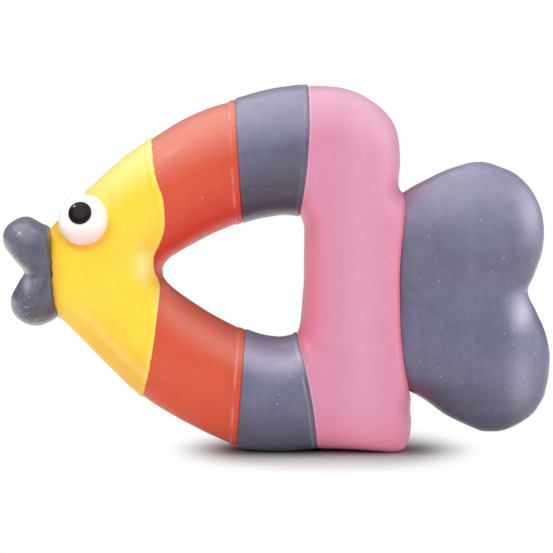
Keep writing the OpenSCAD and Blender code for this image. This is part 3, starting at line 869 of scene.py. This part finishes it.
def make_tail():
    """The grey two-lobed tail, whose root reaches into the rear body."""
    skin = lobe_surface(TAIL, levels=140, count=160)
    skin.cut(inside_tail(skin.points) + ROOT_LAP)
    edge_lines(skin, behind_arc, (0.3, 0.7, 1.2, 2.0))
    joint = behind_arc(skin.points)
    height = -0.2 * (1 - shoulder(joint, 1.2))
    skin.lift(height + casting(skin.points) + 0.15 * lumps(skin.points, size=9, seed=4))
    # Tinted by both ends of the joint, painted shade below and on the lower lobe, painted highlights on top,
    # in the notch and on the rims
    z = skin.points[:, 2]
    ends = ease(np.abs(z - JOINT_Z), 22, 34)
    skin.marks["tint"] = np.clip(0.8 * ends * ease(-joint, -8, -1) + 0.3 * hump(joint, 0, 1.2), 0, 1)
    skin.marks["painted_shade"] = np.clip(0.7 * skin.facing_down(-0.25, 0.7) + 0.12 * ease(-z, -36, -18), 0, 1)
    notch = spot(skin.points, TAIL_NOTCH, width=3, taller=1.6)
    rims = spot(skin.points, TAIL_UPPER_RIM, width=3.5, taller=2)
    rims += spot(skin.points, TAIL_LOWER_RIM, width=4, taller=2.4)
    skin.marks["pale"] = np.clip(0.25 * ease(z, 58, 80) + 0.65 * notch + 0.25 * rims, 0, 1)
    skin.marks["pebbled"] = ease(TAIL_THICK / 2 - np.abs(skin.points[:, 1]), 0.25, 5) * ease(joint, 4, 12)
    add_piece("tail_skin", skin, GREY, "tail")


def make_lips():
    """The grey lips, a cup that closes the snout."""
    skin = lobe_surface(LIPS, levels=110, count=144)
    skin.cut(ahead_of_neck(skin.points) + LAP)
    edge_lines(skin, ahead_of_neck, (0.3, 0.7, 1.2, 2.0))
    joint = ahead_of_neck(skin.points)
    height = -0.3 * (1 - shoulder(joint, 1.0))
    skin.lift(height + casting(skin.points) + 0.06 * lumps(skin.points, size=4, seed=5))
    # The inner wall ends just behind the plane of the joint
    skin.inner[:, 0] += ease(-joint, -1.5, 0) * (0.4 - behind_neck(skin.inner))
    # Painted shade below and in the undercut at the joint, rougher on the lower lip, pale specks on it,
    # partly painted glints, and painted highlights on the crown, on top and in the crease
    skin.marks["painted_shade"] = np.clip(0.7 * skin.facing_down(-0.1, 0.8) + 0.35 * ease(-joint, -1.5, 0), 0, 1)
    z = skin.points[:, 2]
    lower = ease(LIP_Z + 0.5 * LIP_H - z, 0, 6)
    skin.marks["pebbled"] = 0.25 + 0.9 * lower
    crown = spot(skin.points, LIP_CROWN, width=2.4, taller=0.6)
    skin.marks["speckled"] = np.clip(lower * ease(joint, 3, 7) + crown, 0, 1)
    crease = spot(skin.points, LIP_CREASE, width=1.3, taller=2.2)
    skin.marks["pale"] = 0.5 * crease + 0.15 * ease(z, 58, 66)
    add_piece("lips_skin", skin, LIP_GREY, "lips")


def turned(profile, count, side):
    """A closed form turned about an eye's line of sight. side is 1 for the left eye, -1 for the right."""
    angles = np.arange(count) * 2 * math.pi / count
    inner = np.array(profile[1:-1], float)
    rings = np.stack([
        inner[:, None, 0] * np.cos(angles), inner[:, None, 0] * np.sin(angles),
        np.repeat(inner[:, 1:2], count, axis=1)], axis=2).reshape(-1, 3)
    points = np.vstack([rings, [[0, 0, profile[0][1]], [0, 0, profile[-1][1]]]])
    level = math.cos(GAZE_UP)
    sight = np.array([
        -level * math.sin(GAZE_AHEAD), -side * level * math.cos(GAZE_AHEAD), math.sin(GAZE_UP)])
    across = np.cross(sight, [0, 0, 1])
    across /= np.linalg.norm(across)
    upward = np.cross(across, sight)
    centre = EYE_AT * np.array([1, side, 1])
    placed = centre + points[:, 0:1] * across + points[:, 1:2] * upward + points[:, 2:3] * sight
    return Surface(placed, closed_faces(len(inner), count))


def make_eye(name, side):
    """A white dome that is sunk into the head."""
    radius = EYE_D / 2
    over_dome = np.linspace(math.radians(128), LAST_RING, 70)
    profile = [(0, -radius * 0.6)]
    profile += [(radius * math.sin(a), radius * math.cos(a)) for a in over_dome]
    profile += [(0, radius)]
    dome = turned(profile, count=96, side=side)
    dome.lift(0.06 * lumps(dome.points, size=4, seed=7))
    # Painted shade: the dome's lower half is tinted pinkish
    below = EYE_AT[2] - dome.points[:, 2]
    dome.marks["tint"] = 0.75 * ease(below, -1, 6)
    add_piece(name + "_dome", dome, WHITE, name, hollow=False)


def make_pupil(name, side):
    """A dark cap with a rounded rim, seated in an eye's dome."""
    radius = PUPIL_D / 2
    ball = EYE_D / 2 + PUPIL_RISE
    rim = 0.45
    sunk = 0.3
    seat = math.sqrt((EYE_D / 2) ** 2 - radius ** 2) - sunk
    flat_r = radius - rim
    top = math.sqrt(ball ** 2 - flat_r ** 2)
    profile = [(0, seat), (radius * 0.5, seat), (radius, seat)]
    over_rim = np.linspace(0, 1.4, 10)
    profile += [(flat_r + rim * math.cos(a), top - rim * 0.8 * (1 - math.sin(a))) for a in over_rim]
    over_cap = np.linspace(math.asin(flat_r / ball) * 0.97, LAST_RING, 18)
    profile += [(ball * math.sin(a), ball * math.cos(a)) for a in over_cap]
    profile += [(0, ball)]
    cap = turned(profile, count=72, side=side)
    add_piece(name + "_cap", cap, BLACK, name, hollow=False)


def vertex_rows(mesh, name):
    """The points or the normals of a mesh, as rows of three numbers."""
    values = np.empty(len(mesh.vertices) * 3)
    mesh.vertices.foreach_get(name, values)
    return values.reshape(-1, 3)


def make_filling(name):
    """Fibre that fills a CAD solid: its own form, made uneven."""
    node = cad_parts[name]
    source = add_object(name + "_form", node.data.copy())
    remesh = source.modifiers.new("remesh", "REMESH")
    remesh.mode = "VOXEL"
    remesh.voxel_size = FIBRE_VOXEL * MM
    smooth = source.modifiers.new("smooth", "SMOOTH")
    smooth.iterations = 3
    depsgraph = bpy.context.evaluated_depsgraph_get()
    mesh = bpy.data.meshes.new_from_object(source.evaluated_get(depsgraph))
    bpy.data.objects.remove(source)
    points = vertex_rows(mesh, "co")
    normals = vertex_rows(mesh, "normal")
    unevenness = 0.2 * lumps(points / MM, size=6, seed=8) - 0.1
    points += normals * unevenness[:, None] * MM
    mesh.vertices.foreach_set("co", points.ravel())
    mesh.polygons.foreach_set("use_smooth", [True] * len(mesh.polygons))
    mesh.materials.clear()
    mesh.materials.append(FIBRE)
    piece = add_object(name + "_fibre", mesh)
    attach(piece, "toy")
    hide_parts(name)


def paint_node(name, material):
    """Gives a CAD node that stays a material of its own."""
    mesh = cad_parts[name].data
    mesh.materials.clear()
    mesh.materials.append(material)


make_lips()
make_head()
make_gill_band()
make_band("upper_band", UPPER_FRONT, UPPER_REAR, UPPER_REAR)
make_band("lower_band", LOWER_REAR, LOWER_FRONT, LOWER_REAR)
make_rear_body()
make_tail()
for side_name, side_sign in (("left", 1), ("right", -1)):
    make_eye(side_name + "_eye", side_sign)
    make_pupil(side_name + "_pupil", side_sign)
make_filling("body_filling")
make_filling("tail_filling")
for part in ("squeaker_barrel", "reed_bed", "reed_clamp", "squeaker_cap"):
    paint_node(part, PLASTIC)
paint_node("reed", FILM)


# Stage, light and camera

# The point that the lamps are turned to, and the middle and half sizes of the floor's spot that shows
# its shadow and a painted shadow, in metres
TOY_MIDDLE = (0, 0, 0.05)
SHADOW_X = 0.014
SHADOW_HALF_LEN = 0.034
SHADOW_HALF_WIDTH = 0.056


def add_floor():
    """A white floor that keeps the shadow under the toy, deepened by a painted shadow, and is plain white
    further off.
    """
    half = 2.0
    shade_reach = 0.07
    white, dim = (0.97, 0.97, 0.97, 1), (0.36, 0.36, 0.36, 1)
    mesh = bpy.data.meshes.new("floor")
    corners = [(-half, -half, 0), (half, -half, 0), (half, half, 0), (-half, half, 0)]
    mesh.from_pydata(corners, [], [(0, 1, 2, 3)])
    s = Shader("floor_white")
    # Painted shadow: to the camera the floor is darker where ambient occlusion finds the toy near
    near = s.add("ShaderNodeAmbientOcclusion", samples=12)
    near.inputs["Distance"].default_value = shade_reach
    path = s.add("ShaderNodeLightPath")
    painted_shadow = s.math("MULTIPLY", s.span(near.outputs["AO"], 0.5, 1.0, 1, 0), path.outputs["Is Camera Ray"])
    s.put(s.surface.inputs["Base Color"], s.mix(painted_shadow, white, dim))
    s.surface.inputs["Roughness"].default_value = 1.0
    s.surface.inputs["Specular IOR Level"].default_value = 0.0
    from_spot = s.add("ShaderNodeVectorMath", operation="DISTANCE")
    s.put(from_spot.inputs[0], s.stretched((1 / SHADOW_HALF_LEN, 1 / SHADOW_HALF_WIDTH, 0)))
    from_spot.inputs[1].default_value = (SHADOW_X / SHADOW_HALF_LEN, 0, 0)
    away = s.soft_span(from_spot.outputs["Value"], 0.75, 1.4)
    glow = s.add("ShaderNodeEmission")
    both = s.add("ShaderNodeMixShader")
    s.put(both.inputs[0], s.math("MULTIPLY", away, path.outputs["Is Camera Ray"]))
    s.put(both.inputs[1], s.surface.outputs[0])
    s.put(both.inputs[2], glow.outputs[0])
    s.put(s.tree.nodes["Material Output"].inputs["Surface"], both.outputs[0])
    mesh.materials.append(s.material)
    floor = add_object("floor", mesh)


def add_lamp(name, place, size, power):
    """A round lamp at a place, turned to the toy."""
    data = bpy.data.lights.new(name, "AREA")
    data.shape = "DISK"
    data.size = size
    data.energy = power
    lamp = add_object(name, data)
    lamp.location = place
    lamp.rotation_euler = (Vector(TOY_MIDDLE) - Vector(place)).to_track_quat("-Z", "Y").to_euler()


def add_world(level, mirrored):
    """White surroundings, dimmer as a light and in reflections than to the camera."""
    world = bpy.data.worlds.new("studio")
    world.use_nodes = True
    tree = world.node_tree
    background = tree.nodes["Background"]
    background.inputs["Color"].default_value = (1, 1, 1, 1)
    path = tree.nodes.new("ShaderNodeLightPath")
    unseen = tree.nodes.new("ShaderNodeMapRange")
    tree.links.new(path.outputs["Is Glossy Ray"], unseen.inputs["Value"])
    unseen.inputs["To Min"].default_value = level
    unseen.inputs["To Max"].default_value = mirrored
    strength = tree.nodes.new("ShaderNodeMapRange")
    tree.links.new(path.outputs["Is Camera Ray"], strength.inputs["Value"])
    tree.links.new(unseen.outputs["Result"], strength.inputs["To Min"])
    strength.inputs["To Max"].default_value = 1.0
    tree.links.new(strength.outputs["Result"], background.inputs["Strength"])
    bpy.context.scene.world = world


def add_camera():
    """The photograph's view: the left flank from far off and slightly above."""
    distance = 1.4
    elevation = math.radians(4.5)
    frame_width = 0.16175
    middle = Vector((0, 0, 0.0509))
    data = bpy.data.cameras.new("camera")
    data.sensor_width = 36
    data.lens = data.sensor_width * distance / frame_width
    data.clip_end = 20
    camera = add_object("camera", data)
    camera.location = middle + Vector((0, -distance * math.cos(elevation), distance * math.sin(elevation)))
    camera.rotation_euler = (middle - camera.location).to_track_quat("-Z", "Y").to_euler()
    bpy.context.scene.camera = camera


add_floor()
add_lamp("top", (-0.3, 0.22, 0.95), size=1.2, power=4.4)
add_lamp("key", (-0.3, -0.85, 0.85), size=1.4, power=5.2)
add_lamp("side", (0.9, -0.1, 0.42), size=1.0, power=4.4)
add_lamp("glint", (-0.62, -0.2, 0.86), size=0.07, power=1.0)
add_world(level=0.58, mirrored=0.15)
add_camera()
bpy.context.scene.view_settings.view_transform = "Standard"
